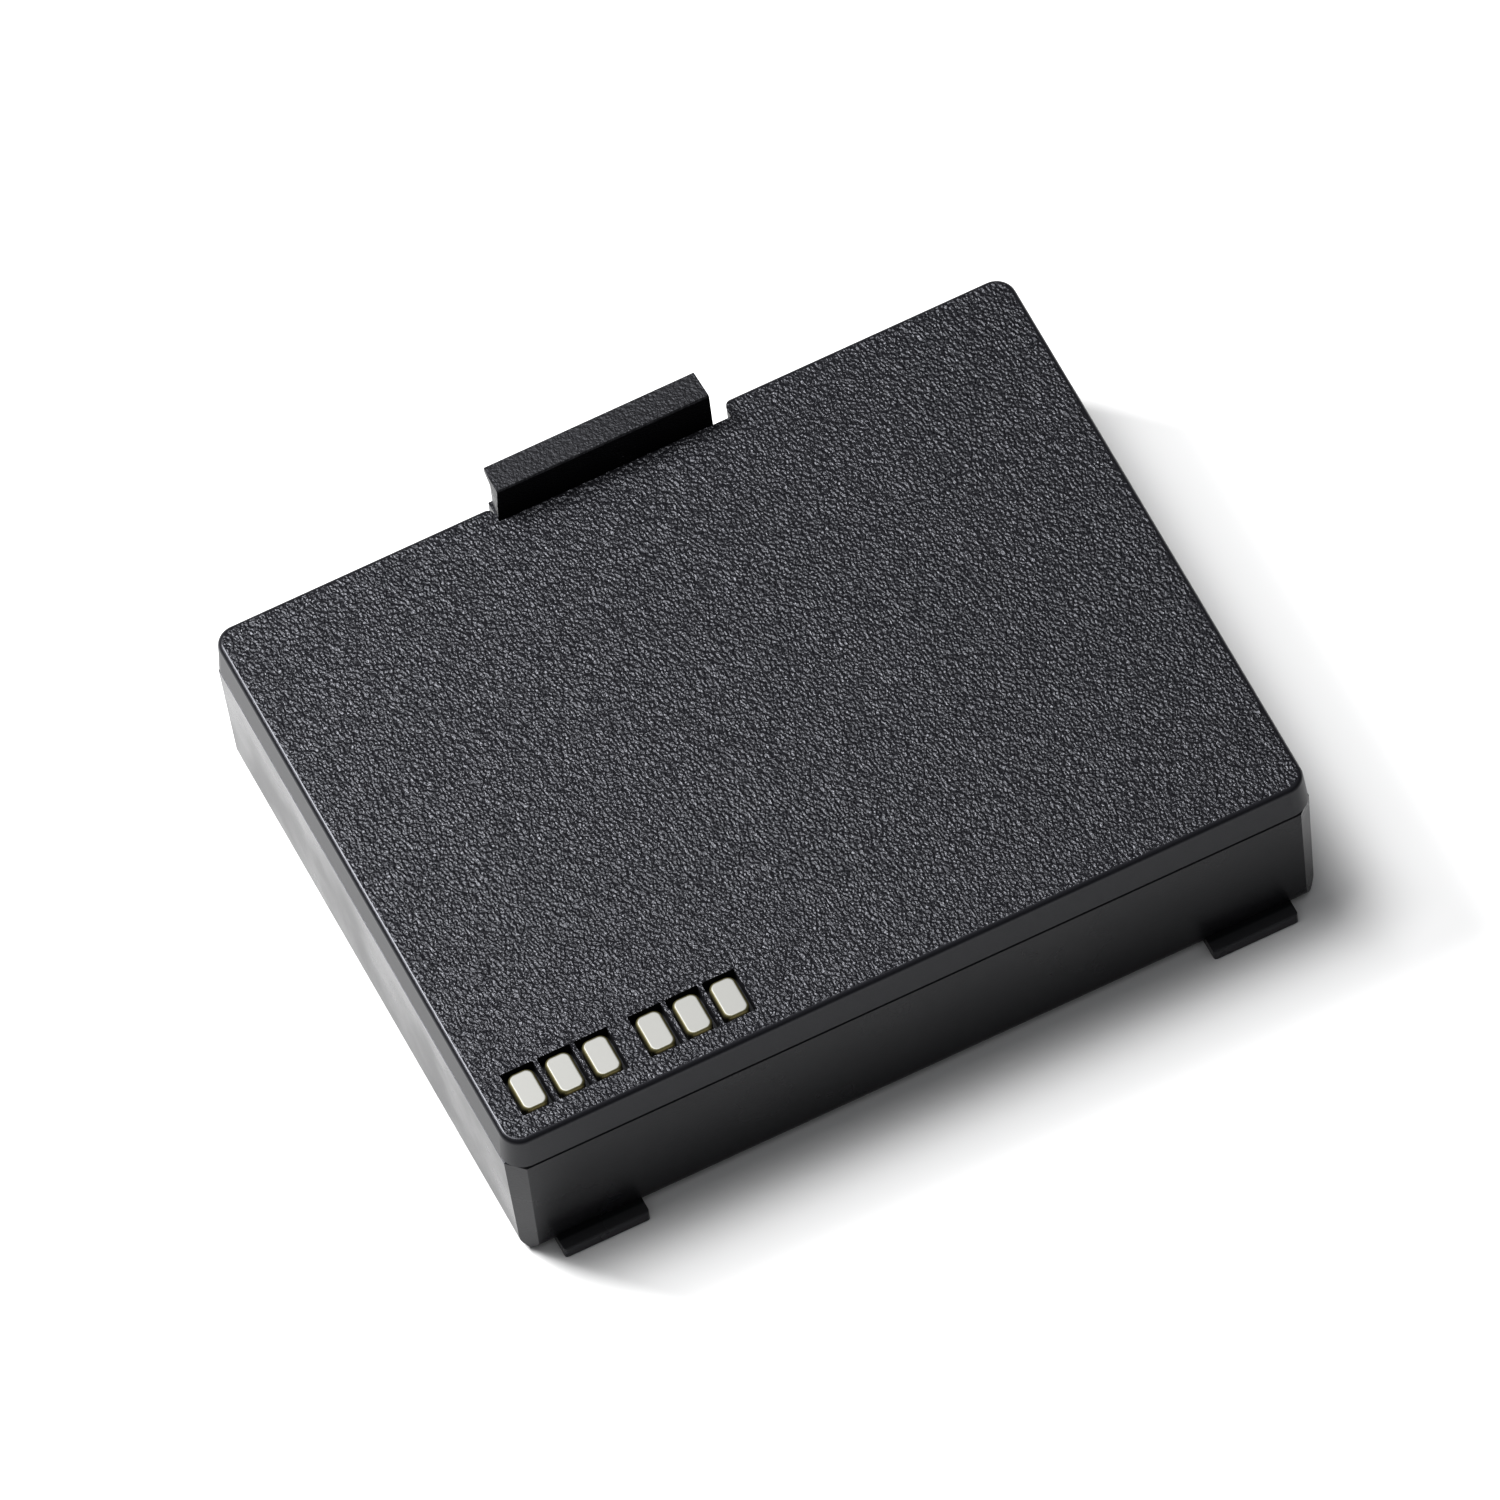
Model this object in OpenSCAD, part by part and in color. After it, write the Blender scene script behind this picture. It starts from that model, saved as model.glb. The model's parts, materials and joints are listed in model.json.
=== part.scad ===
// Removable lithium-ion battery pack: two flat prismatic cells in series inside a
// two-shell case, with six contact blades, a circuit board and a sprung rear latch.
// Millimetres. +Z up out of the contact face, +Y towards the latch, origin at the
// centre of the face that the pack rests on.

/* [Pack] */
// Length along X, at the seam between the shells
pack_w = 70; // [70:0.5:76]
// Depth along Y, at the seam
pack_d = 54.2; // [54.2:0.2:60]
// Height from the rest face to the contact face
pack_h = 16.7; // [16.6:0.1:18]
// Thickness of the shell walls
wall = 1.3; // [1.2:0.05:1.4]

/* [Shells] */
// Height of the cover, from the seam to the contact face
cover_h = 3.6; // [3.4:0.1:4]
// Inward lean of the cover's sides, per unit of height
cover_draft = 0.057; // [0.03:0.001:0.06]
// Inward lean of the case's sides, per unit of height
case_draft = 0.03; // [0.01:0.001:0.03]
// Plan radius of the cover's corners at the seam
corner_r = 1.9; // [1.9:0.1:3]
// Leg of the flat cut across each corner of the case
corner_cut = 1.35; // [1.1:0.05:1.4]
// Radius of the edge round the contact face
top_round = 0.5; // [0.2:0.05:0.6]
// Width of the dark line between the shells
seam_gap = 0.12; // [0.08:0.02:0.2]

/* [Contacts] */
// Distance between neighbouring contacts in a group
contact_pitch = 3.2; // [3.1:0.05:3.3]
// Distance between the last contact of one group and the first of the next
group_pitch = 4.65; // [4.5:0.05:5]
// Width of a contact's rounded pad
pad_w = 2.25; // [1.8:0.05:2.3]
// Length of a contact's rounded pad
pad_d = 3.65; // [3:0.05:3.7]
// Width of a contact window
window_w = 2.85; // [2.7:0.05:2.9]
// Length of a contact window
window_d = 4.2; // [4:0.05:4.4]

/* [Latch] */
// Height of the latch above the contact face
latch_rise = 3.35; // [2.5:0.05:4]
// How far the lip reaches past the stem
lip_reach = 1.25; // [0.8:0.05:1.25]
// Depth of the pivot below the contact face
pivot_drop = 4.05; // [4.05:0.05:4.3]
// Diameter of the hinge pin
pin_d = 0.9; // [0.8:0.05:1]

/* [Tabs] */
// Width of a front locating tab
tab_w = 7.4; // [6:0.1:8]
// Thickness of a front locating tab
tab_t = 1.12; // [1:0.02:1.4]
// How far a tab stands out past the case's wall
tab_reach = 1.7; // [1.2:0.1:1.8]
// Distance from the middle of the pack to the middle of each tab
tab_offset = 28.3; // [26:0.1:29]

/* [Cells] */
// Length of a cell, from its cap to its closed end
cell_l = 59.5; // [59:0.5:60]
// Width of a cell
cell_w = 39.4; // [38:0.2:39.4]
// Thickness of a cell
cell_t = 6.3; // [6:0.05:6.3]

/* [Hidden] */
$fn = 48;
eps = 0.01;

seam_z = pack_h - cover_h;
case_h = seam_z - seam_gap / 2;
// Rounded edges are cut into this many flats
edge_steps = 8;
// Edge round the rest face
bottom_round = 1.4;
// Bevels at the seam: a ledge on the case, a small break on the cover
case_bevel = [0.2, 0.08];
cover_bevel = [0.08, 0.08];
half_w = pack_w / 2;
half_d = pack_d / 2;
top_in_z = pack_h - wall;

// Inner hollow of the shells
hollow_x = half_w - 1.7;
hollow_y = half_d - 1.6;
// Tongue of the cover and the step in the case that takes it
tongue_t = 0.7;
tongue_drop = 0.9;
fit_gap = 0.05;

// Notch and pocket for the latch, in the middle of the rear wall
notch_l = -10.35;
notch_r = 9.9;
notch_front = half_d - 1.85;
notch_corner = 1.0;
pocket_floor_z = 5.6;
pocket_wall_t = 0.8;
pocket_face = half_d - 2.2;
pocket_side_t = 1.4;

// Latch
latch_l = -10.02;
latch_r = 8.53;
stem_front = half_d - 1.35;
stem_t = 1.4;
lip_t = 0.75;
latch_top = pack_h + latch_rise;
pivot_y = half_d - 0.8;
pivot_z = pack_h - pivot_drop;
barrel_r = 1.0;
barrel_l = -10.1;
barrel_r_end = 9.6;
spring_room = 2.0;
tail_low = pocket_floor_z + 0.5;
latch_chamfer = 0.12;
rib_count = 3;

// Spring
wire_d = 0.3;
coil_mean_r = 0.72;
coil_turns = 8;

// Contact row
first_contact_x = -31.1;
contact_y = -22.65;
contact_count = 6;
group_size = 3;
pad_top_z = pack_h - 0.1;
pad_t = 1.2;
pad_edge = 0.3;
pad_corner = 0.7;

// Circuit board
board_t = 0.8;
board_top_z = 12.0;
board_w = 2 * hollow_x - 1.0;
board_front = -hollow_y + 0.3;
board_rear = board_front + 7.5;
post_hole_r = 0.7;
post_x = [-9.6, hollow_x - 2.2];
post_y = board_front + 1.7;

// Cells: closed end at +X, cap end at -X
floor_foam_t = 0.5;
tape_t = 0.5;
cell_x0 = hollow_x - 0.6 - cell_l;
cell_y0 = pocket_face - pocket_wall_t - 0.5 - cell_w;
cell_yc = cell_y0 + cell_w / 2;
cell_z = [
    wall + floor_foam_t + cell_t / 2,
    wall + floor_foam_t + tape_t + cell_t * 1.5
];
cell_side_r = cell_t / 2 - 0.1;
can_t = 0.35;
cap_t = 0.8;
roll_gap = 0.25;
gasket_t = 0.3;
gasket_r = 1.7;
rivet_r = 1.15;
rivet_h = 0.7;
tab_plate_off = 12;
plug_off = 6.5;

// Nickel strips lie in one plane in front of the caps
strip_t = 0.2;
strip_w = 3;
strip_x = cell_x0 - gasket_t - rivet_h;

// Label on the rest face
label_w = 50;
label_d = 32;
label_t = 0.12;
label_recess = 0.2;

CELL_PARTS = ["cell_can", "cell_cap", "electrode_roll", "terminal_gasket",
              "terminal_rivet", "fill_plug"];

function contact_x(i) =
    first_contact_x + (i - 1) * contact_pitch
    + (i > group_size ? group_pitch - contact_pitch : 0);

// ---------- Shared shapes ----------

// Half outline of a shell: straight drafted side, a bevel [across, up] at the
// seam (y = 0) and a rounded edge at the outer face (y = height).
module shell_outline(reach, height, draft, edge_r, bevel) {
    slope = atan(draft);
    cy = height - edge_r;
    cx = reach - draft * cy - edge_r / cos(slope);
    arc = [for (k = [0 : edge_steps])
        let (a = slope + k * (90 - slope) / edge_steps)
            [cx + edge_r * cos(a), cy + edge_r * sin(a)]];
    polygon(concat(
        [
            [0, 0],
            [reach - bevel[0], 0],
            [reach - draft * bevel[1], bevel[1]]
        ],
        arc,
        [[0, height]]
    ));
}

module mirrored_outline(reach, height, draft, edge_r, bevel) {
    shell_outline(reach, height, draft, edge_r, bevel);
    mirror([1, 0])
        shell_outline(reach, height, draft, edge_r, bevel);
}

// Solid block of the pack's plan with drafted sides, conical corners and a
// rounded outer edge, standing on z = 0.
module round_block(corner, height, draft, edge_r, bevel) {
    run_x = half_w - corner;
    run_y = half_d - corner;
    translate([0, run_y, 0])
        rotate([90, 0, 0])
            linear_extrude(2 * run_y)
                mirrored_outline(half_w, height, draft, edge_r, bevel);
    translate([-run_x, 0, 0])
        rotate([90, 0, 90])
            linear_extrude(2 * run_x)
                mirrored_outline(half_d, height, draft, edge_r, bevel);
    for (sx = [-1, 1], sy = [-1, 1])
        translate([sx * run_x, sy * run_y, 0])
            rotate_extrude()
                shell_outline(corner, height, draft, edge_r, bevel);
}

// Half outline of a drafted slab without rounding: the corner cuts' profile.
module cut_outline(reach, height, draft, bevel) {
    polygon([
        [0, 0],
        [reach - bevel[0], 0],
        [reach - draft * bevel[1], bevel[1]],
        [reach - draft * height, height],
        [0, height]
    ]);
}

// Solid block of the pack's plan with a flat cut across each corner, drafted
// sides and a rounded outer edge, standing on z = 0.
module cut_block(cut, height, draft, edge_r, bevel) {
    diagonal = (half_w + half_d - cut) / sqrt(2);
    intersection() {
        translate([0, pack_w, 0])
            rotate([90, 0, 0])
                linear_extrude(2 * pack_w)
                    mirrored_outline(half_w, height, draft, edge_r, bevel);
        translate([-pack_w, 0, 0])
            rotate([90, 0, 90])
                linear_extrude(2 * pack_w)
                    mirrored_outline(half_d, height, draft, edge_r, bevel);
        intersection_for (side = [-45, 45])
            rotate([0, 0, side])
                translate([0, pack_w, 0])
                    rotate([90, 0, 0])
                        linear_extrude(2 * pack_w)
                            for (flip = [0, 1])
                                mirror([flip, 0])
                                    cut_outline(diagonal, height, draft, bevel);
    }
}

// Box from its lowest to its highest corner.
module block(low, high) {
    translate(low)
        cube(high - low);
}

// Bar of a flat cell's cross-section, lying along +X from x = 0.
module cell_bar(length, width, thickness, side_r) {
    flat = width / 2 - side_r;
    flat_z = thickness / 2 - side_r;
    rotate([90, 0, 90])
        linear_extrude(length)
            union() {
                square([2 * flat, thickness], center = true);
                square([width, 2 * flat_z], center = true);
                for (sx = [-1, 1], sy = [-1, 1])
                    translate([sx * flat, sy * flat_z])
                        circle(side_r);
            }
}

// Plate with rounded plan corners, standing on z = 0.
module rounded_plate(w, d, t, r) {
    linear_extrude(t)
        union() {
            square([w - 2 * r, d], center = true);
            square([w, d - 2 * r], center = true);
            for (sx = [-1, 1], sy = [-1, 1])
                translate([sx * (w / 2 - r), sy * (d / 2 - r)])
                    circle(r);
        }
}

// ---------- Shells ----------

module case_shell() {
    difference() {
        translate([0, 0, seam_z - seam_gap / 2])
            mirror([0, 0, 1])
                cut_block(corner_cut, case_h, case_draft, bottom_round, case_bevel);
        block([-hollow_x, -hollow_y, wall], [hollow_x, hollow_y, pack_h]);
        block([-hollow_x - tongue_t - fit_gap, -hollow_y - tongue_t - fit_gap,
               seam_z - tongue_drop - 0.1],
              [hollow_x + tongue_t + fit_gap, hollow_y + tongue_t + fit_gap, pack_h]);
    }
}

// Walls that shut the latch pocket off from the inside of the pack.
module pocket_walls() {
    block([notch_l - pocket_side_t, pocket_face - pocket_wall_t, wall - eps],
          [notch_r + pocket_side_t, hollow_y - fit_gap, top_in_z - 0.1]);
    block([notch_l - pocket_side_t, hollow_y - 0.2, wall - eps],
          [notch_r + pocket_side_t, half_d - 0.8, seam_z - seam_gap / 2 - 0.05]);
}

module pocket_space() {
    block([notch_l, pocket_face, pocket_floor_z], [notch_r, half_d + 1, pack_h + 1]);
}

// Pads that the latch's tail rests against.
module latch_stops() {
    for (x = [-6, 5])
        block([x, pocket_face - eps, tail_low + 0.4],
              [x + 1.5, stem_front - 0.15, tail_low + 1.4]);
}

// Open-topped saddles that the hinge pin drops into.
module pin_saddles() {
    for (x = [notch_l - 1, notch_r - eps])
        translate([x, pivot_y, pivot_z]) {
            rotate([0, 90, 0])
                cylinder(h = 1 + eps, d = pin_d + 0.04);
            translate([0, -pin_d / 2 - 0.02, 0])
                cube([1 + eps, pin_d + 0.04, cover_h]);
        }
}

module board_posts() {
    for (x = post_x)
        translate([x, post_y, wall - eps]) {
            cylinder(h = board_top_z - board_t - wall + eps, r = 1.5);
            cylinder(h = board_top_z - wall + 0.5, r = post_hole_r - 0.1);
        }
}

// Ribs under the board's front edge and stops in front of the cells.
module case_ribs() {
    for (x = [-26, 10, 22])
        block([x - 0.5, -hollow_y - eps, wall - eps],
              [x + 0.5, board_front + 3, board_top_z - board_t]);
    for (x = [-20, 0, 20])
        block([x - 0.5, cell_y0 - 1.3, wall - eps],
              [x + 0.5, cell_y0 - 0.3, cell_z[0] + cell_t / 2]);
}

module front_tab(x) {
    tab_back = -half_d + 2.6;
    tab_front = -half_d + 0.5 - tab_reach;
    r = 0.35;
    translate([x, 0, 0])
        intersection() {
            linear_extrude(tab_t)
                union() {
                    translate([-tab_w / 2, tab_front + r])
                        square([tab_w, tab_back - tab_front - r]);
                    translate([-tab_w / 2 + r, tab_front])
                        square([tab_w - 2 * r, r + 1]);
                    for (sx = [-1, 1])
                        translate([sx * (tab_w / 2 - r), tab_front + r])
                            circle(r);
                }
            rotate([90, 0, 90])
                translate([0, 0, -tab_w])
                    linear_extrude(2 * tab_w)
                        polygon([
                            [tab_back, 0], [tab_front + 0.12, 0],
                            [tab_front, 0.12], [tab_front + 0.06, tab_t - 0.08],
                            [tab_front + 0.16, tab_t], [tab_back, tab_t]
                        ]);
        }
    // Small fillet along the root of the tab
    translate([x, -half_d + 0.62, tab_t - eps])
        difference() {
            translate([-tab_w / 2 + 0.9, -0.24, 0])
                cube([tab_w - 1.8, 0.5, 0.24]);
            translate([-tab_w, -0.24, 0.24])
                rotate([0, 90, 0])
                    cylinder(h = 2 * tab_w, r = 0.24);
        }
}

module bottom_case() {
    color("#1d1d1f")
        difference() {
            union() {
                case_shell();
                pocket_walls();
                board_posts();
                case_ribs();
                for (side = [-1, 1])
                    front_tab(side * tab_offset);
            }
            difference() {
                pocket_space();
                latch_stops();
            }
            pin_saddles();
            block([-label_w / 2 - 0.15, -label_d / 2 - 0.15, -1],
                  [label_w / 2 + 0.15, label_d / 2 + 0.15, label_recess]);
        }
}

module contact_windows() {
    for (i = [1 : contact_count])
        translate([contact_x(i), contact_y, pack_h - wall - 1])
            block([-window_w / 2, -window_d / 2, 0],
                  [window_w / 2, window_d / 2, wall + 2]);
}

// Notch in the rear edge, with rounded outer corners.
module cover_notch() {
    mouth = half_d + 2;
    r = notch_corner;
    translate([0, 0, seam_z - 2])
        linear_extrude(cover_h + 4)
            difference() {
                translate([notch_l - r, notch_front])
                    square([notch_r - notch_l + 2 * r, mouth - notch_front]);
                for (side = [[notch_l, -1], [notch_r, 1]])
                    translate([side[0] + side[1] * r, 0]) {
                        translate([0, half_d - 0.2 - r])
                            circle(r);
                        translate([side[1] > 0 ? -r : 0, notch_front - 1])
                            square([r, half_d - 0.2 - r - notch_front + 1]);
                        translate([side[1] > 0 ? 0 : -1, notch_front - 1])
                            square([1, half_d - 0.2 - notch_front + 1]);
                    }
            }
}

module cover_tongue() {
    difference() {
        block([-hollow_x - tongue_t, -hollow_y - tongue_t, seam_z - tongue_drop],
              [hollow_x + tongue_t, hollow_y + tongue_t, seam_z + 1]);
        block([-hollow_x, -hollow_y, seam_z - 2], [hollow_x, hollow_y, pack_h]);
        block([notch_l - pocket_side_t - 0.2, hollow_y - 1, seam_z - 2],
              [notch_r + pocket_side_t + 0.2, half_d + 1, seam_z + seam_gap / 2]);
    }
}

module top_cover() {
    color("#232326")
        difference() {
            union() {
                difference() {
                    translate([0, 0, seam_z + seam_gap / 2])
                        round_block(corner_r, cover_h - seam_gap / 2, cover_draft,
                                    top_round, cover_bevel);
                    block([-hollow_x, -hollow_y, seam_z - 1],
                          [hollow_x, hollow_y, top_in_z]);
                }
                cover_tongue();
            }
            contact_windows();
            cover_notch();
        }
}

// ---------- Latch ----------

// Side view of the latch: stem with its lip, down to the barrel.
module latch_side() {
    c = latch_chamfer;
    back = stem_front + stem_t;
    polygon([
        [stem_front, pivot_z],
        [stem_front, latch_top - c],
        [stem_front + c, latch_top],
        [back + lip_reach - c, latch_top],
        [back + lip_reach, latch_top - c],
        [back + lip_reach, latch_top - lip_t],
        [back + 0.15, latch_top - lip_t - 0.12],
        [back, latch_top - lip_t - 0.3],
        [back, pivot_z]
    ]);
}

module latch_head() {
    intersection() {
        translate([-pack_w / 2, 0, 0])
            rotate([90, 0, 90])
                linear_extrude(pack_w)
                    latch_side();
        // Ends draw in slightly towards the lip
        linear_extrude(latch_top + 1)
            polygon([
                [latch_l - 0.25, stem_front - 1], [latch_r + 0.06, stem_front - 1],
                [latch_r - 0.12, stem_front + 3], [latch_l + 0.12, stem_front + 3]
            ]);
        // The left end spreads towards the base
        translate([0, half_d + 3, 0])
            rotate([90, 0, 0])
                linear_extrude(8)
                    polygon([
                        [latch_l - 0.23, pivot_z - 1], [latch_l - 0.23, pack_h - 0.2],
                        [latch_l, latch_top], [latch_r, latch_top],
                        [latch_r, pivot_z - 1]
                    ]);
    }
}

module latch_tail() {
    tail_front = stem_front - 0.1;
    tail_back = half_d - 0.35;
    block([barrel_l, tail_front, tail_low], [barrel_r_end, tail_back, pivot_z - 0.2]);
    for (i = [0 : rib_count - 1])
        translate([barrel_l + 3, tail_back, tail_low + 1 + i * 1.3])
            rotate([0, 90, 0])
                cylinder(h = barrel_r_end - barrel_l - 6, r = 0.25);
}

module latch() {
    color("#151516")
        difference() {
            union() {
                latch_head();
                latch_tail();
                translate([barrel_l, pivot_y, pivot_z])
                    rotate([0, 90, 0])
                        cylinder(h = barrel_r_end - barrel_l, r = barrel_r);
                // Ear at the left end that the notch's side wall guides
                block([latch_l - 0.25, pivot_y - 0.4, pivot_z],
                      [latch_l + 0.4, half_d + 0.45, pack_h - 0.45]);
            }
            translate([barrel_l - 1, pivot_y, pivot_z])
                rotate([0, 90, 0])
                    cylinder(h = barrel_r_end - barrel_l + 2, d = pin_d + 0.1);
            // Room for the spring's coil and its lower leg
            block([-spring_room, stem_front - 1, pivot_z - 1.6],
                  [spring_room, half_d + 0.2, pivot_z + 1.6]);
            block([-spring_room, stem_front - 1, pivot_z - 3.5],
                  [0, pivot_y - 0.4, pivot_z]);
        }
}

module latch_pin() {
    color("#c9ccd0")
        translate([notch_l - 0.9, pivot_y, pivot_z])
            rotate([0, 90, 0])
                cylinder(h = notch_r - notch_l + 1.8, d = pin_d);
}

// Closely wound coil round the pin, with one leg up the stem and one down the pocket.
module latch_spring() {
    coil_l = wire_d * coil_turns;
    outer_r = coil_mean_r + wire_d / 2;
    inner_r = coil_mean_r - wire_d / 2;
    groove_r = outer_r - 0.07;
    leg_up = 1.3;
    leg_down = 3.2;
    color("#b9bcc2")
        translate([0, pivot_y, pivot_z]) {
            translate([-coil_l / 2, 0, 0])
                rotate([0, 90, 0])
                    rotate_extrude()
                        polygon(concat(
                            [[inner_r, 0]],
                            [for (i = [0 : coil_turns - 1], half = [0, 0.5])
                                [half > 0 ? outer_r : groove_r, (i + half) * wire_d]],
                            [[groove_r, coil_l], [inner_r, coil_l]]
                        ));
            translate([coil_l / 2 - wire_d / 2, -coil_mean_r, 0])
                cylinder(h = leg_up, d = wire_d);
            translate([-coil_l / 2 + wire_d / 2, -coil_mean_r, -leg_down])
                cylinder(h = leg_down, d = wire_d);
        }
}

// ---------- Contacts and board ----------

// Side view of a pad: a slab with its two upper edges rounded.
module pad_side(width) {
    translate([-width / 2, 0])
        square([width, pad_t - pad_edge]);
    translate([-width / 2 + pad_edge, 0])
        square([width - 2 * pad_edge, pad_t]);
    for (s = [-1, 1])
        translate([s * (width / 2 - pad_edge), pad_t - pad_edge])
            circle(pad_edge);
}

// Bent blade: a rounded pad that shows in its window, on a leg down to the board.
module contact(i) {
    color("#e8e2c4")
        translate([contact_x(i), contact_y, 0]) {
            translate([0, 0, pad_top_z - pad_t])
                intersection() {
                    rounded_plate(pad_w, pad_d, pad_t, pad_corner);
                    translate([0, pad_d, 0])
                        rotate([90, 0, 0])
                            linear_extrude(2 * pad_d)
                                pad_side(pad_w);
                    translate([-pad_w, 0, 0])
                        rotate([90, 0, 90])
                            linear_extrude(2 * pad_w)
                                pad_side(pad_d);
                }
            block([-pad_w / 2 + 0.4, -0.2, board_top_z],
                  [pad_w / 2 - 0.4, 0.2, pad_top_z - pad_t + 0.1]);
            block([-pad_w / 2 + 0.4, -0.2, board_top_z],
                  [pad_w / 2 - 0.4, 1.4, board_top_z + 0.25]);
        }
}

// Moulded block that holds the blades upright under the windows.
module contact_carrier() {
    x0 = contact_x(1) - 1.9;
    x1 = contact_x(contact_count) + 1.9;
    y0 = contact_y - 2.3;
    y1 = contact_y + 2.3;
    color("#101012")
        difference() {
            block([x0, y0, board_top_z + 0.02], [x1, y1, top_in_z - 0.05]);
            for (i = [1 : contact_count])
                translate([contact_x(i), contact_y, 0]) {
                    block([-pad_w / 2 + 0.38, -0.22, board_top_z - 1],
                          [pad_w / 2 - 0.38, 0.22, pack_h]);
                    block([-pad_w / 2 + 0.38, -0.22, board_top_z - 1],
                          [pad_w / 2 - 0.38, 1.42, board_top_z + 0.27]);
                    block([-pad_w / 2 - 0.1, -pad_d / 2 - 0.1, pad_top_z - pad_t - 0.02],
                          [pad_w / 2 + 0.1, pad_d / 2 + 0.1, pack_h]);
                }
        }
}

module circuit_board() {
    color("#1f6b3a")
        difference() {
            block([-board_w / 2, board_front, board_top_z - board_t],
                  [board_w / 2, board_rear, board_top_z]);
            for (x = post_x)
                translate([x, post_y, board_top_z - board_t - 1])
                    cylinder(h = board_t + 2, r = post_hole_r);
        }
}

// Chip package with a row of small legs along two sides.
module chip(x, y, w, d, h, legs) {
    translate([x, y, board_top_z]) {
        block([-w / 2, -d / 2, 0.1], [w / 2, d / 2, h]);
        for (i = [0 : legs - 1], s = [-1, 1])
            translate([(i - (legs - 1) / 2) * w / legs, s * d / 2, 0])
                block([-0.16, -0.7, 0], [0.16, 0.7, 0.2]);
    }
}

module protection_chip() {
    color("#2a2a2c")
        chip(-4, board_front + 4.6, 4.4, 3, 1, 4);
}

module switch_transistors() {
    color("#2a2a2c")
        chip(4, board_front + 4.6, 5, 3.9, 1.5, 4);
}

module fuel_gauge_chip() {
    color("#2a2a2c")
        chip(14.5, board_front + 4.6, 5, 4.2, 0.9, 6);
}

// Metal strip resistor: dark body between two end caps.
module sense_resistor() {
    color("#3a3a3d")
        translate([22.2, board_front + 4.6, board_top_z]) {
            block([-2.4, -1.6, 0.05], [2.4, 1.6, 0.6]);
            for (s = [-1, 1])
                translate([s * 2.6, 0, 0])
                    block([-0.6, -1.6, 0], [0.6, 1.6, 0.65]);
        }
}

module chip_fuse() {
    color("#d9d4c4")
        translate([28, board_front + 5, board_top_z]) {
            block([-1.3, -0.8, 0.05], [1.3, 0.8, 0.7]);
            for (s = [-1, 1])
                translate([s * 1.3, 0, 0])
                    block([-0.35, -0.85, 0], [0.35, 0.85, 0.75]);
        }
}

module board_capacitors() {
    color("#b48a5a")
        for (x = [-7.9, 0.2, 8.4, 10.2, 18.8])
            translate([x, board_front + 1.5, board_top_z])
                block([-0.5, -0.8, 0], [0.5, 0.8, 0.8]);
}

// Bead against the upper cell, with its leads down to the board.
module thermistor() {
    bead_r = 0.7;
    y = cell_y0 - bead_r - 0.02;
    color("#3c2f1c")
        translate([8, y, 0]) {
            translate([0, 0, board_top_z + 1.1])
                sphere(bead_r);
            for (s = [-1, 1])
                translate([s * 0.35, 0, board_top_z + 0.9]) {
                    rotate([90, 0, 0])
                        cylinder(h = y - board_rear + 0.8, r = 0.15);
                    translate([0, -(y - board_rear + 0.8), -0.9])
                        cylinder(h = 1.05, r = 0.15);
                }
        }
}

// ---------- Cells ----------

module cell_can(c) {
    color("#c3c6ca")
        translate([cell_x0 + cap_t, cell_yc, cell_z[c]])
            difference() {
                cell_bar(cell_l - cap_t, cell_w, cell_t, cell_side_r);
                translate([-1, 0, 0])
                    cell_bar(cell_l - cap_t - can_t + 1, cell_w - 2 * can_t,
                             cell_t - 2 * can_t, cell_side_r - can_t);
            }
}

// Cap plate with a bore for the terminal, a filling hole and a raised weld pad.
module cell_cap(c) {
    side = c == 0 ? 1 : -1;
    color("#cdd0d4")
        translate([cell_x0, cell_yc, cell_z[c]]) {
            difference() {
                cell_bar(cap_t, cell_w, cell_t, cell_side_r);
                translate([-1, 0, 0])
                    rotate([0, 90, 0])
                        cylinder(h = cap_t + 2, r = rivet_r - 0.3);
                translate([-1, side * plug_off, 0])
                    rotate([0, 90, 0])
                        cylinder(h = cap_t + 2, r = 0.5);
            }
            translate([0, side * tab_plate_off, 0])
                block([-gasket_t - rivet_h, -2.2, -1.8], [eps, 2.2, 1.8]);
        }
}

module electrode_roll(c) {
    inset = 2 * (can_t + roll_gap);
    color("#6d5238")
        translate([cell_x0 + cap_t + 1.6, cell_yc, cell_z[c]])
            cell_bar(cell_l - cap_t - can_t - 2.2, cell_w - inset, cell_t - inset,
                     cell_side_r - can_t - roll_gap);
}

module terminal_gasket(c) {
    color("#22313f")
        translate([cell_x0 - gasket_t, cell_yc, cell_z[c]])
            rotate([0, 90, 0])
                difference() {
                    cylinder(h = gasket_t, r = gasket_r);
                    translate([0, 0, -1])
                        cylinder(h = gasket_t + 2, r = rivet_r - 0.3);
                }
}

module terminal_rivet(c) {
    color("#b9bcc0")
        translate([cell_x0 - gasket_t - rivet_h, cell_yc, cell_z[c]])
            rotate([0, 90, 0]) {
                cylinder(h = rivet_h, r = rivet_r);
                cylinder(h = rivet_h + gasket_t + cap_t, r = rivet_r - 0.3);
            }
}

module fill_plug(c) {
    side = c == 0 ? 1 : -1;
    color("#a7aab0")
        translate([cell_x0, cell_yc + side * plug_off, cell_z[c]]) {
            rotate([0, 90, 0])
                cylinder(h = cap_t, r = 0.5);
            translate([-0.2, 0, 0])
                rotate([0, 90, 0])
                    cylinder(h = 0.2, r = 0.9);
        }
}

module cell_part(c, part) {
    if (part == "cell_can") cell_can(c);
    if (part == "cell_cap") cell_cap(c);
    if (part == "electrode_roll") electrode_roll(c);
    if (part == "terminal_gasket") terminal_gasket(c);
    if (part == "terminal_rivet") terminal_rivet(c);
    if (part == "fill_plug") fill_plug(c);
}

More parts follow.
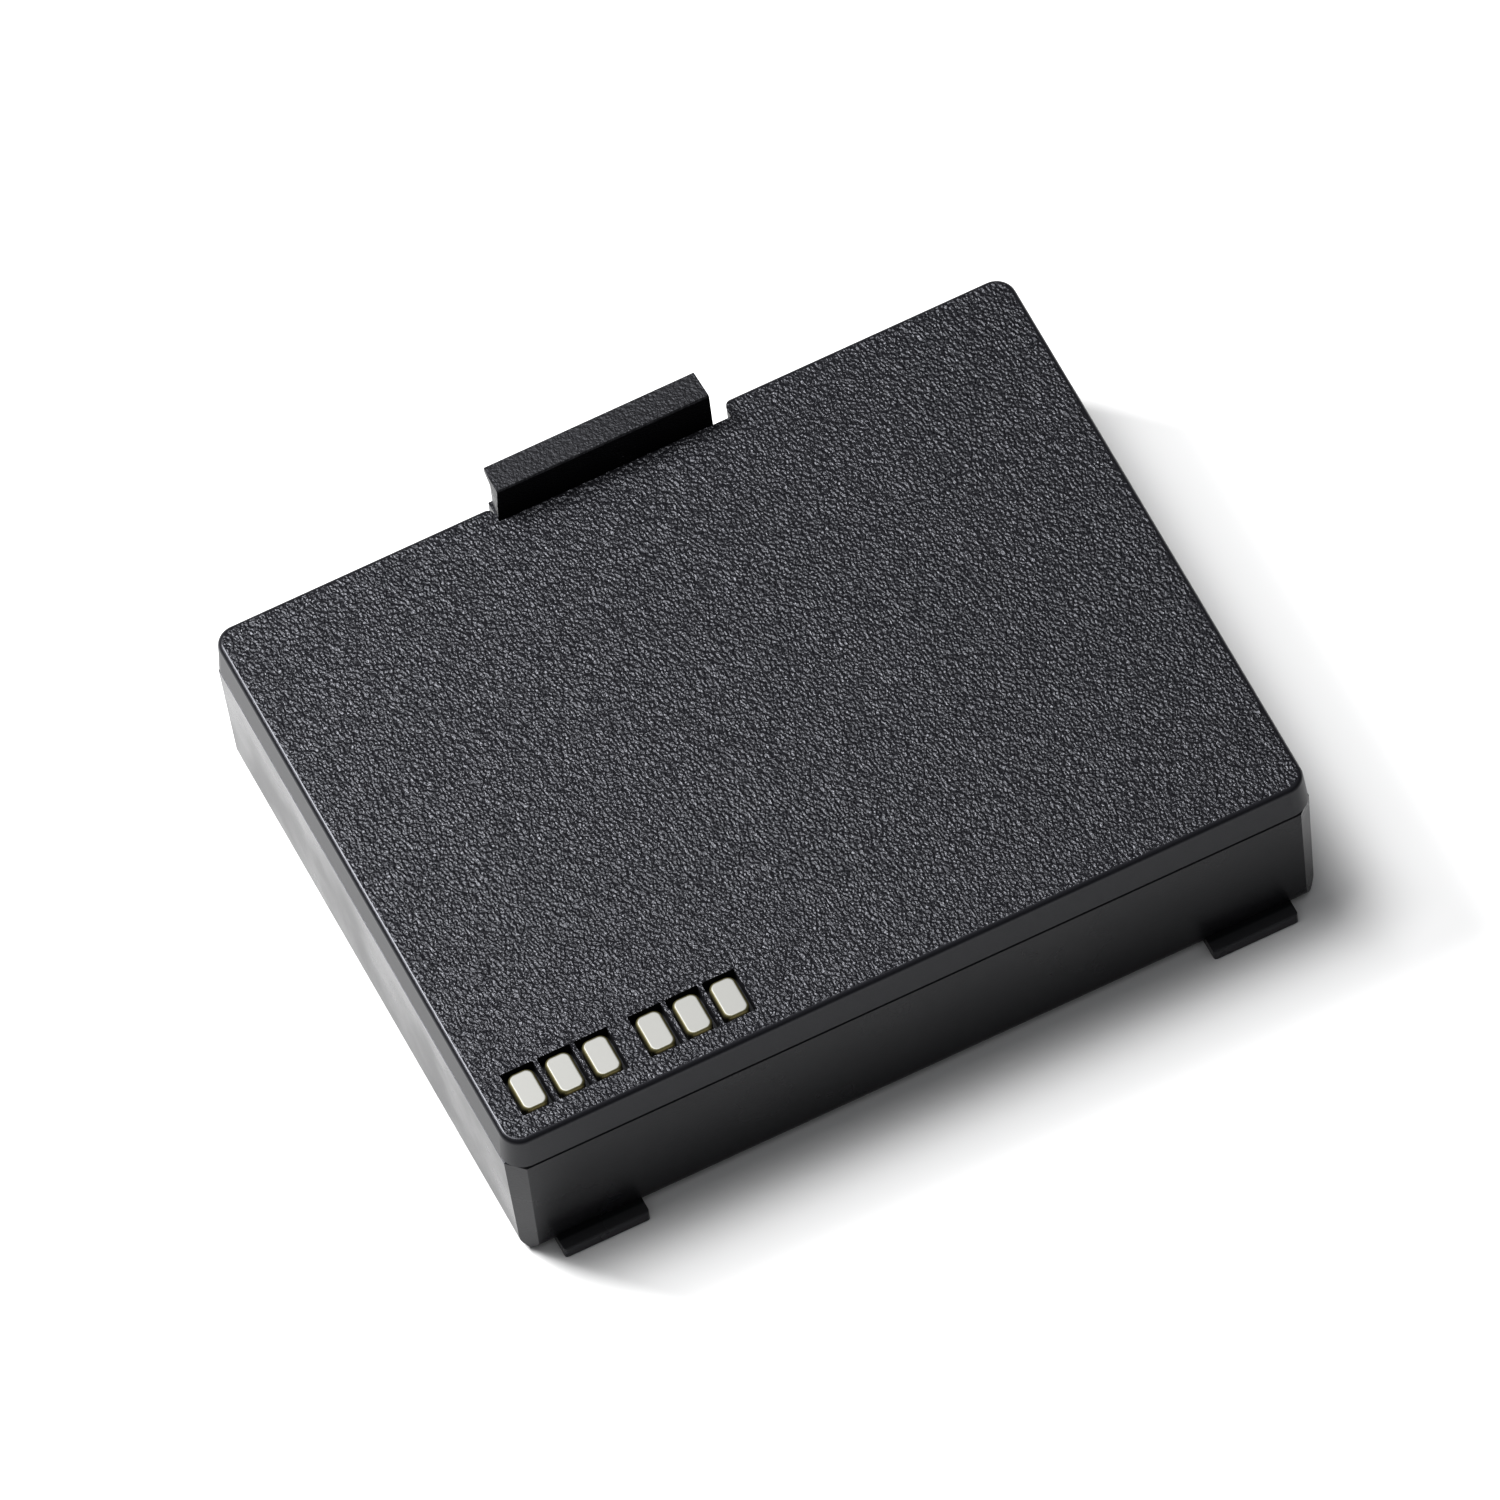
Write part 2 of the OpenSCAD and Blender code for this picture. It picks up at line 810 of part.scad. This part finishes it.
module cell_pad(z0, z1, inset) {
    block([cell_x0 + 4, cell_y0 + inset, z0],
          [cell_x0 + cell_l - 2, cell_y0 + cell_w - inset, z1]);
}

module cell_tape() {
    color("#e9e9e6")
        cell_pad(cell_z[0] + cell_t / 2, cell_z[1] - cell_t / 2, 6);
}

module floor_foam() {
    color("#33353a")
        cell_pad(wall, cell_z[0] - cell_t / 2, 4);
}

module top_foam() {
    color("#33353a")
        cell_pad(cell_z[1] + cell_t / 2, top_in_z, 4);
}

// ---------- Connections ----------

// Flat strip in the plane in front of the caps, from one (y, z) corner to another.
module strip_run(y0, z0, y1, z1) {
    block([strip_x - strip_t, y0, z0], [strip_x, y1, z1]);
}

module negative_strip() {
    h = strip_w / 2;
    y_end = board_rear - 1.2;
    color("#c8c9c6") {
        strip_run(y_end - strip_w, cell_z[0] - h, cell_yc + h, cell_z[0] + h);
        strip_run(y_end - strip_w, cell_z[0] - h, y_end, board_top_z - board_t - 0.2);
        block([strip_x - strip_t, y_end - strip_w, board_top_z - board_t - 0.2],
              [strip_x + 3, y_end, board_top_z - board_t]);
    }
}

module positive_strip() {
    h = 1.2;
    y_pad = cell_yc - tab_plate_off;
    color("#c8c9c6") {
        strip_run(board_rear + 0.2, cell_z[1] - h, y_pad + h, cell_z[1] + h);
        strip_run(board_rear - 0.6, board_top_z, board_rear + 1, cell_z[1] + h);
        block([strip_x - strip_t, board_rear - 2.4, board_top_z],
              [strip_x + 2, board_rear - 0.6, board_top_z + 0.2]);
        block([strip_x - strip_t, board_rear - 0.6 - eps, board_top_z],
              [strip_x + 2, board_rear + 1, board_top_z + 0.2]);
    }
}

module series_strip() {
    h = strip_w / 2;
    y_pad = cell_yc + tab_plate_off;
    color("#c8c9c6") {
        strip_run(cell_yc - h, cell_z[1] - h, y_pad + h, cell_z[1] + h);
        strip_run(y_pad - h, cell_z[0] - h, y_pad + h, cell_z[1] + h);
    }
}

// Resettable cutoff welded over the positive strip.
module thermal_cutoff() {
    y = board_rear + 2.8;
    color("#caa36a")
        block([strip_x - strip_t - 0.9, y - 1.5, cell_z[1] - 1.6],
              [strip_x - strip_t, y + 1.5, cell_z[1] + 1.6]);
}

// Insulated wire from the joint between the cells to the board.
module sense_lead() {
    r = 0.3;
    x = strip_x - strip_t - r - 0.02;
    z = cell_z[1] + 2.4;
    y_end = board_rear - 1.2;
    color("#c9362b")
        translate([x, 0, 0]) {
            translate([0, cell_yc, cell_z[1]])
                cylinder(h = 2.4, r = r);
            translate([0, cell_yc, z])
                sphere(r);
            translate([0, cell_yc, z])
                rotate([90, 0, 0])
                    cylinder(h = cell_yc - y_end, r = r);
            translate([0, y_end, z])
                sphere(r);
            translate([0, y_end, board_top_z])
                cylinder(h = z - board_top_z, r = r);
        }
}

module end_insulator() {
    color("#d8cfb4")
        block([-hollow_x + 0.3, cell_y0 + 0.5, wall + 0.3],
              [-hollow_x + 0.5, cell_y0 + cell_w - 0.5, top_in_z - 0.4]);
}

module rating_label() {
    color("#c7c9cc")
        translate([0, 0, label_recess - label_t])
            rounded_plate(label_w, label_d, label_t, 1.5);
}

bottom_case();
top_cover();
latch();
latch_pin();
latch_spring();
for (i = [1 : contact_count])
    contact(i);
contact_carrier();
circuit_board();
protection_chip();
switch_transistors();
fuel_gauge_chip();
sense_resistor();
chip_fuse();
board_capacitors();
thermistor();
thermal_cutoff();
for (c = [0, 1], part = CELL_PARTS)
    cell_part(c, part);
cell_tape();
floor_foam();
top_foam();
positive_strip();
negative_strip();
series_strip();
sense_lead();
end_insulator();
rating_label();
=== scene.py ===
"""Studio, materials and rolled contact pads for a removable battery pack on its CAD frame."""
import json
import math

import bmesh
import bpy
from mathutils import Matrix, Vector


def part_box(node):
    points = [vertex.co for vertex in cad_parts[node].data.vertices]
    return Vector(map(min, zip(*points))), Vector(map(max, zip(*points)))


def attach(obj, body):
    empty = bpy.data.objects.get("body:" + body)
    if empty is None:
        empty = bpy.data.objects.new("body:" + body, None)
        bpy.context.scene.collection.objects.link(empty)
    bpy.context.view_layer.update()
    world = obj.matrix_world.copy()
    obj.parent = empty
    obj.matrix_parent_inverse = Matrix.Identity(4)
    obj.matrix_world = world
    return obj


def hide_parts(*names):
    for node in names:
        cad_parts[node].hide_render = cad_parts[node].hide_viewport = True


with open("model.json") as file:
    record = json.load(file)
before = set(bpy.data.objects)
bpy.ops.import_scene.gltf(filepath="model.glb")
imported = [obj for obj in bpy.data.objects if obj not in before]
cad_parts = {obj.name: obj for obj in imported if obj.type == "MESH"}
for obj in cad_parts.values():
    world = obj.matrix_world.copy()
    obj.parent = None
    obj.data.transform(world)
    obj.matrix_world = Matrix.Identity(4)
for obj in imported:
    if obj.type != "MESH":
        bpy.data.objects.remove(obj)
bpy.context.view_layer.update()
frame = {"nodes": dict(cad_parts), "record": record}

MM = 0.001
NODES = frame["nodes"]
TOP_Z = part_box("top_cover")[1].z
TAB_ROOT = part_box("top_cover")[0].y
SCENE = bpy.context.scene

# ---------------------------------------------------------------- studio

CAMERA_AZIMUTH = math.radians(-19.064)
CAMERA_ELEVATION = math.radians(57.810)
CAMERA_ROLL = math.radians(-8.235)
CAMERA_DISTANCE = 2.8164
CAMERA_AIM = Vector((-2.32 * MM, -3.19 * MM, TOP_Z))
CAMERA_LENS = 866.08


def look_axes(azimuth, elevation, roll):
    """Right, up and back directions of a camera; azimuth 0 looks along +Y."""
    back = Vector((
        math.sin(azimuth) * math.cos(elevation),
        -math.cos(azimuth) * math.cos(elevation),
        math.sin(elevation),
    ))
    level_right = Vector((0, 0, 1)).cross(back).normalized()
    level_up = back.cross(level_right)
    right = level_right * math.cos(roll) + level_up * math.sin(roll)
    return right, back.cross(right), back


def add_camera():
    right, up, back = look_axes(CAMERA_AZIMUTH, CAMERA_ELEVATION, CAMERA_ROLL)
    data = bpy.data.cameras.new("photo_camera")
    data.sensor_width = 36
    data.lens = CAMERA_LENS
    data.clip_start = 0.05
    data.clip_end = 50
    camera = bpy.data.objects.new("photo_camera", data)
    turn = Matrix((right, up, back)).transposed().to_4x4()
    camera.matrix_world = Matrix.Translation(CAMERA_AIM + back * CAMERA_DISTANCE) @ turn
    SCENE.collection.objects.link(camera)
    SCENE.camera = camera


def add_area_light(name, direction, distance, size, power):
    """A square softbox that looks at the object from a direction."""
    data = bpy.data.lights.new(name, "AREA")
    data.shape = "SQUARE"
    data.size = size
    data.energy = power
    lamp = bpy.data.objects.new(name, data)
    towards = Vector(direction).normalized()
    lamp.location = towards * distance
    lamp.rotation_euler = towards.to_track_quat("Z", "Y").to_euler()
    SCENE.collection.objects.link(lamp)


def add_world(overhead, horizon, colour):
    """A soft ceiling that fades towards a dark horizon, as in a room with one big softbox."""
    world = bpy.data.worlds.new("studio")
    world.use_nodes = True
    tree = world.node_tree
    background = tree.nodes["Background"]
    background.inputs["Color"].default_value = (*colour, 1)
    place = tree.nodes.new("ShaderNodeTexCoord")
    split = tree.nodes.new("ShaderNodeSeparateXYZ")
    fade = tree.nodes.new("ShaderNodeMapRange")
    fade.inputs["From Min"].default_value = 0.3
    fade.inputs["From Max"].default_value = 0.85
    fade.inputs["To Min"].default_value = horizon
    fade.inputs["To Max"].default_value = overhead
    tree.links.new(place.outputs["Generated"], split.inputs[0])
    tree.links.new(split.outputs["Z"], fade.inputs["Value"])
    tree.links.new(fade.outputs["Result"], background.inputs["Strength"])
    SCENE.world = world


def add_floor(half_side):
    mesh = bpy.data.meshes.new("floor")
    near, far = -half_side, half_side
    corners = [(near, near, 0), (far, near, 0), (far, far, 0), (near, far, 0)]
    mesh.from_pydata(corners, [], [(0, 1, 2, 3)])
    floor = bpy.data.objects.new("floor", mesh)
    SCENE.collection.objects.link(floor)
    return floor


SCENE.view_settings.view_transform = "Standard"

# ---------------------------------------------------------------- material kit


class Shader:
    """A small helper that builds one procedural material out of nodes."""

    def __init__(self, name, colour, roughness, metallic=0.0, ior=1.5):
        self.material = bpy.data.materials.new(name)
        self.material.use_nodes = True
        self.tree = self.material.node_tree
        self.bsdf = self.tree.nodes["Principled BSDF"]
        self.bsdf.inputs["Base Color"].default_value = (*colour, 1)
        self.bsdf.inputs["Roughness"].default_value = roughness
        self.bsdf.inputs["Metallic"].default_value = metallic
        self.bsdf.inputs["IOR"].default_value = ior
        place = self.add("ShaderNodeTexCoord")
        to_mm = self.add("ShaderNodeVectorMath", operation="SCALE")
        to_mm.inputs["Scale"].default_value = 1 / MM
        self.link(place.outputs["Object"], to_mm.inputs[0])
        self.place = to_mm.outputs[0]

    def add(self, kind, **settings):
        node = self.tree.nodes.new(kind)
        for key, value in settings.items():
            setattr(node, key, value)
        return node

    def link(self, source, target):
        self.tree.links.new(source, target)

    def noise(self, size_mm, detail=2.0, roughness=0.5, stretch=(1, 1, 1), distortion=0.0):
        """Noise whose blotches are about size_mm across, stretched along an axis when asked."""
        source = self.place
        if stretch != (1, 1, 1):
            squeeze = self.add("ShaderNodeVectorMath", operation="MULTIPLY")
            squeeze.inputs[1].default_value = tuple(1 / s for s in stretch)
            self.link(source, squeeze.inputs[0])
            source = squeeze.outputs[0]
        node = self.add("ShaderNodeTexNoise")
        node.inputs["Scale"].default_value = 1 / size_mm
        node.inputs["Detail"].default_value = detail
        node.inputs["Roughness"].default_value = roughness
        node.inputs["Distortion"].default_value = distortion
        self.link(source, node.inputs["Vector"])
        return node.outputs["Fac"]

    def cells(self, size_mm, feature="F1", smoothness=None):
        node = self.add("ShaderNodeTexVoronoi", feature=feature)
        node.inputs["Scale"].default_value = 1 / size_mm
        if smoothness is not None:
            node.inputs["Smoothness"].default_value = smoothness
        self.link(self.place, node.inputs["Vector"])
        return node.outputs["Distance"]

    def ramp(self, value, low, high, out_low=0.0, out_high=1.0, smooth=True):
        node = self.add("ShaderNodeMapRange")
        node.interpolation_type = "SMOOTHSTEP" if smooth else "LINEAR"
        node.inputs["From Min"].default_value = low
        node.inputs["From Max"].default_value = high
        node.inputs["To Min"].default_value = out_low
        node.inputs["To Max"].default_value = out_high
        self.link(value, node.inputs["Value"])
        return node.outputs["Result"]

    def maths(self, operation, a, b):
        node = self.add("ShaderNodeMath", operation=operation)
        for socket, value in zip(node.inputs, (a, b)):
            if isinstance(value, (int, float)):
                socket.default_value = value
            else:
                self.link(value, socket)
        return node.outputs[0]

    def split(self, vector):
        node = self.add("ShaderNodeSeparateXYZ")
        self.link(vector, node.inputs[0])
        return node.outputs

    def normal(self):
        return self.add("ShaderNodeNewGeometry").outputs["True Normal"]

    def bump(self, height, depth_mm, under=None):
        """Bump whose height input of 1 stands depth_mm proud."""
        node = self.add("ShaderNodeBump")
        node.inputs["Strength"].default_value = 1.0
        node.inputs["Distance"].default_value = depth_mm * MM
        self.link(height, node.inputs["Height"])
        if under is not None:
            self.link(under, node.inputs["Normal"])
        self.link(node.outputs["Normal"], self.bsdf.inputs["Normal"])
        return node.outputs["Normal"]

    def tint(self, factor, dark, light):
        """Base colour that runs from dark to light with a factor."""
        node = self.add("ShaderNodeMix", data_type="RGBA")
        node.inputs["A"].default_value = (*dark, 1)
        node.inputs["B"].default_value = (*light, 1)
        self.link(factor, node.inputs["Factor"])
        self.link(node.outputs["Result"], self.bsdf.inputs["Base Color"])
        return node.outputs["Result"]

    def overlay(self, factor, under, colour):
        """Lays a second colour over the base colour that is already there."""
        node = self.add("ShaderNodeMix", data_type="RGBA")
        node.inputs["B"].default_value = (*colour, 1)
        self.link(under, node.inputs["A"])
        self.link(factor, node.inputs["Factor"])
        self.link(node.outputs["Result"], self.bsdf.inputs["Base Color"])

    def rough(self, factor, low, high):
        self.link(self.ramp(factor, 0.3, 0.7, low, high), self.bsdf.inputs["Roughness"])


COVER_IOR = 1.28
CASE_IOR = 1.22
COOL_SHEEN = (0.9, 0.915, 1.0)


def shade(colour, factor):
    """A colour made lighter or darker by a factor."""
    return [channel * factor for channel in colour]


def satin_plastic(name, colour, roughness, grain_mm=0.2, grain_depth=0.008, tab_painted_light=None):
    """Moulded plastic with a fine satin grain; tabs at the front can be painted lighter, painted light that
    lifts the shade on them.
    """
    shader = Shader(name, colour, roughness, ior=CASE_IOR)
    shader.bsdf.inputs["Specular Tint"].default_value = (*COOL_SHEEN, 1)
    shader.bump(shader.noise(grain_mm, detail=2, roughness=0.6), grain_depth)
    shader.rough(shader.noise(9, detail=4), roughness - 0.05, roughness + 0.05)
    tinted = shader.tint(shader.noise(4, detail=3), shade(colour, 0.85), shade(colour, 1.15))
    if tab_painted_light is not None:
        # painted light: the case in front of the cover, where the tabs are, gets a lighter colour that
        # lifts the shade falling on them
        reach = shader.split(shader.place)["Y"]
        painted_tab_light_mask = shader.ramp(reach, TAB_ROOT / MM - 0.3, TAB_ROOT / MM, 1.0, 0.0)
        shader.overlay(painted_tab_light_mask, tinted, tab_painted_light)
    return shader.material


def grained_cover(name, colour, roughness):
    """Cover plastic: coarse leather grain on the outer face, gloss on its rounding, satin below."""
    shader = Shader(name, colour, roughness, ior=COVER_IOR)
    shader.bsdf.inputs["Specular Tint"].default_value = (*COOL_SHEEN, 1)
    facing = shader.split(shader.normal())["Z"]
    height = shader.split(shader.place)["Z"]
    on_face = shader.maths(
        "MULTIPLY",
        shader.ramp(facing, 0.97, 0.995),
        shader.ramp(height, TOP_Z / MM - 0.03, TOP_Z / MM - 0.01),
    )
    shader.link(shader.ramp(facing, 0.08, 0.16, 0.45, roughness), shader.bsdf.inputs["Roughness"])
    pebbles = shader.noise(0.24, detail=0.6, roughness=0.5, stretch=(0.9, 1.2, 1), distortion=0.25)
    lower = shader.bump(shader.maths("MULTIPLY", pebbles, on_face), 0.19)
    shader.bump(shader.noise(0.16, detail=2, roughness=0.6), 0.006, under=lower)
    return shader.material


def plated_pad(name, colour, rolled_painted_shade, lip_painted_reflection, roughness):
    """Pale plating whose colour is set by facing: a painted pale reflection on the flat top, painted shade
    dark on the roll and a painted golden reflection along the front lip.
    """
    shader = Shader(name, colour, roughness, metallic=0.6)
    facing = shader.split(shader.normal())
    # painted light: the pale top and the dark rolled edges are lit and shaded looks of one plating, chosen
    # by facing direction
    top_facing_mask = shader.ramp(facing["Z"], 0.93, 0.99)
    facing_painted_colour = shader.tint(top_facing_mask, rolled_painted_shade, colour)
    # painted reflection: the front-facing lip is painted golden
    lip = shader.ramp(facing["Y"], -0.9, -0.7, 1.0, 0.0)
    shader.overlay(lip, facing_painted_colour, lip_painted_reflection)
    shader.bump(shader.noise(0.3, detail=3), 0.002)
    return shader.material


def drawn_metal(name, colour, roughness, stretch=(8, 1, 1), streak_mm=0.08):
    """Bare metal with streaks along its drawing or rolling direction."""
    shader = Shader(name, colour, roughness, metallic=1.0)
    shader.bump(shader.noise(streak_mm, detail=3, stretch=stretch), 0.0015)
    shader.rough(shader.noise(1.5, detail=3), roughness - 0.06, roughness + 0.08)
    shader.tint(shader.noise(2.5, detail=2), shade(colour, 0.9), colour)
    return shader.material


def smooth_coat(name, colour, roughness, ripple_mm=0.8, mottle=0.12):
    """Lacquer, film or insulation: faint ripple and barely uneven colour."""
    shader = Shader(name, colour, roughness)
    shader.bump(shader.noise(ripple_mm, detail=1), 0.004)
    shader.rough(shader.noise(3, detail=2), roughness - 0.04, roughness + 0.06)
    shader.tint(shader.noise(1.2, detail=3), shade(colour, 1 - mottle), shade(colour, 1 + mottle))
    return shader.material


def fired_body(name, colour, roughness=0.6):
    """Ceramic or moulding compound: fine pores and speckle."""
    shader = Shader(name, colour, roughness)
    shader.bump(shader.noise(0.06, detail=3, roughness=0.7), 0.004)
    shader.tint(shader.noise(0.12, detail=4, roughness=0.7), shade(colour, 0.75), shade(colour, 1.2))
    return shader.material


def soft_foam(name, colour, cell_mm):
    """Closed-cell foam or foam tape: rounded cells with darker walls."""
    shader = Shader(name, colour, 0.85)
    cells = shader.cells(cell_mm, feature="SMOOTH_F1", smoothness=0.4)
    shader.bump(cells, cell_mm * 0.25)
    shader.tint(cells, colour, shade(colour, 0.7))
    return shader.material


def wound_foil(name, colour):
    """Edge of a wound electrode: thin light and dark layers."""
    shader = Shader(name, colour, 0.5, metallic=0.5)
    layers = shader.noise(0.12, detail=2, stretch=(120, 120, 1))
    shader.bump(layers, 0.02)
    shader.tint(shader.ramp(layers, 0.4, 0.6), shade(colour, 0.45), shade(colour, 1.5))
    return shader.material


def fibre_paper(name, colour):
    """Pressed insulation paper: matt with crossing fibres."""
    shader = Shader(name, colour, 0.9)
    fibres = shader.noise(0.15, detail=4, roughness=0.7, stretch=(1, 6, 6), distortion=1.5)
    shader.bump(fibres, 0.012)
    shader.tint(fibres, shade(colour, 0.8), shade(colour, 1.1))
    return shader.material


MATERIALS = {
    # the lighter tab colour on the case is painted light that lifts the shade on the front tabs
    "case_plastic": satin_plastic(
        "case_plastic", (0.006, 0.006, 0.0068), 0.3, tab_painted_light=(0.024, 0.024, 0.026)
    ),
    "cover_plastic": grained_cover("cover_plastic", (0.004, 0.004, 0.005), 0.28),
    "latch_plastic": satin_plastic("latch_plastic", (0.005, 0.005, 0.0056), 0.36, 0.3, 0.12),
    "carrier_plastic": satin_plastic("carrier_plastic", (0.006, 0.006, 0.006), 0.5),
    # pad colours by facing: pale top, painted shade on the roll, painted golden reflection on the lip
    "contact_plating": plated_pad(
        "contact_plating", (0.155, 0.155, 0.147), (0.05, 0.044, 0.016), (0.5, 0.42, 0.17), 0.5
    ),
    "pin_steel": drawn_metal("pin_steel", (0.55, 0.56, 0.58), 0.3, (20, 1, 1), 0.05),
    "spring_steel": drawn_metal("spring_steel", (0.42, 0.43, 0.45), 0.35, (1, 1, 1), 0.1),
    "board": smooth_coat("board", (0.015, 0.11, 0.045), 0.3, 0.5),
    "chip_plastic": fired_body("chip_plastic", (0.012, 0.012, 0.013)),
    "resistor": smooth_coat("resistor", (0.02, 0.02, 0.024), 0.35, 0.3),
    "fuse_ceramic": fired_body("fuse_ceramic", (0.6, 0.56, 0.45)),
    "capacitor": fired_body("capacitor", (0.3, 0.17, 0.075), 0.5),
    "thermistor_glass": smooth_coat("thermistor_glass", (0.05, 0.02, 0.008), 0.15, 0.4),
    "cutoff": drawn_metal("cutoff", (0.6, 0.5, 0.32), 0.35),
    "can_aluminium": drawn_metal("can_aluminium", (0.68, 0.69, 0.71), 0.38, (12, 1, 1), 0.12),
    "roll": wound_foil("roll", (0.25, 0.15, 0.08)),
    "gasket": smooth_coat("gasket", (0.02, 0.04, 0.065), 0.6, 0.4),
    "tape": soft_foam("tape", (0.72, 0.72, 0.7), 0.35),
    "foam": soft_foam("foam", (0.03, 0.032, 0.036), 0.5),
    "nickel": drawn_metal("nickel", (0.62, 0.61, 0.57), 0.32, (1, 10, 1), 0.06),
    "red_wire": smooth_coat("red_wire", (0.5, 0.03, 0.02), 0.35, 0.6, 0.08),
    "paper": fibre_paper("paper", (0.6, 0.53, 0.36)),
    "label": smooth_coat("label", (0.42, 0.43, 0.45), 0.35, 1.5, 0.04),
}


def dress_nodes():
    """Gives every CAD node the material of the slot that its record names."""
    for row in frame["record"]["subparts"]:
        node = NODES[row["node"]]
        node.data.materials.clear()
        node.data.materials.append(MATERIALS[row["material_slot"]])


dress_nodes()

# ---------------------------------------------------------------- contact pads

PAD_ROLL = 0.27 * MM
PAD_CORNER = 0.72 * MM
PAD_HEIGHT = 1.2 * MM
LEG_INSET = 0.4 * MM
LEG_HALF = 0.2 * MM
LEG_OVERLAP = 0.1 * MM
FOOT_REACH = 1.4 * MM
FOOT_HEIGHT = 0.25 * MM
CORNER_STEPS = 8
ROLL_STEPS = 6
FLAT_BAND = 0.027 * MM


def pad_ring(mesh, middle, half_x, half_y, inset, height):
    """One level of a pad: a rounded rectangle pulled in by an inset."""
    radius = PAD_CORNER - inset
    ring = []
    for quarter, (sign_x, sign_y) in enumerate(((1, 1), (-1, 1), (-1, -1), (1, -1))):
        centre_x = middle.x + sign_x * (half_x - PAD_CORNER)
        centre_y = middle.y + sign_y * (half_y - PAD_CORNER)
        for step in range(CORNER_STEPS + 1):
            turn = math.radians(90) * (quarter + step / CORNER_STEPS)
            out_x = radius * math.cos(turn)
            out_y = radius * math.sin(turn)
            ring.append(mesh.verts.new((centre_x + out_x, centre_y + out_y, height)))
    return ring


def add_block(mesh, low, high):
    """A closed box between two corners."""
    size = high - low
    place = Matrix.Translation((low + high) / 2) @ Matrix.Diagonal((*size, 1))
    bmesh.ops.create_cube(mesh, size=1.0, matrix=place)


def add_rolled_pad(node):
    """A contact blade in the CAD blade's box, with its pad rounded in plan and rolled over at the edges."""
    low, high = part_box(node)
    middle = (low + high) / 2
    half_x = (high.x - low.x) / 2
    half_y = (high.y - low.y) / 2
    levels = [(0.0, high.z - PAD_HEIGHT)]
    for step in range(ROLL_STEPS + 1):
        turn = math.radians(90) * step / ROLL_STEPS
        levels.append((PAD_ROLL * (1 - math.cos(turn)), high.z - PAD_ROLL * (1 - math.sin(turn))))
    levels.append((PAD_ROLL + FLAT_BAND, high.z))
    mesh = bmesh.new()
    rings = [pad_ring(mesh, middle, half_x, half_y, inset, height) for inset, height in levels]
    for lower, upper in zip(rings, rings[1:]):
        for index in range(len(lower)):
            after = (index + 1) % len(lower)
            mesh.faces.new((lower[index], lower[after], upper[after], upper[index]))
    mesh.faces.new(rings[-1])
    mesh.faces.new(rings[0][::-1])
    for face in mesh.faces:
        face.smooth = True
    leg_x = half_x - LEG_INSET
    leg_low = Vector((middle.x - leg_x, middle.y - LEG_HALF, low.z))
    leg_high = Vector((middle.x + leg_x, middle.y + LEG_HALF, high.z - PAD_HEIGHT + LEG_OVERLAP))
    add_block(mesh, leg_low, leg_high)
    foot_low = Vector((middle.x - leg_x, middle.y + LEG_HALF, low.z))
    foot_high = Vector((middle.x + leg_x, middle.y + FOOT_REACH, low.z + FOOT_HEIGHT))
    add_block(mesh, foot_low, foot_high)
    data = bpy.data.meshes.new(node + "_rolled")
    mesh.to_mesh(data)
    mesh.free()
    data.materials.append(MATERIALS["contact_plating"])
    pad = bpy.data.objects.new(node + "_rolled", data)
    SCENE.collection.objects.link(pad)
    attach(pad, "pack")
    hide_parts(node)


for node_name in sorted(NODES):
    if node_name.startswith("contact_") and node_name != "contact_carrier":
        add_rolled_pad(node_name)

# ---------------------------------------------------------------- floor, lights and camera

FLOOR_HALF_SIDE = 3.0

floor = add_floor(FLOOR_HALF_SIDE)
floor_shader = Shader("floor_paper", (0.66, 0.66, 0.66), 0.9)
floor_shader.bump(floor_shader.noise(0.5, detail=2), 0.002)
floor.data.materials.append(floor_shader.material)
add_world(overhead=0.45, horizon=0.03, colour=(0.97, 0.98, 1))
add_area_light("key", direction=(-0.15, 0.22, 1.0), distance=0.5, size=0.2, power=3.3)
add_area_light("sparkle", direction=(-0.45, 0.45, 0.77), distance=0.3, size=0.08, power=1.65)
add_camera()
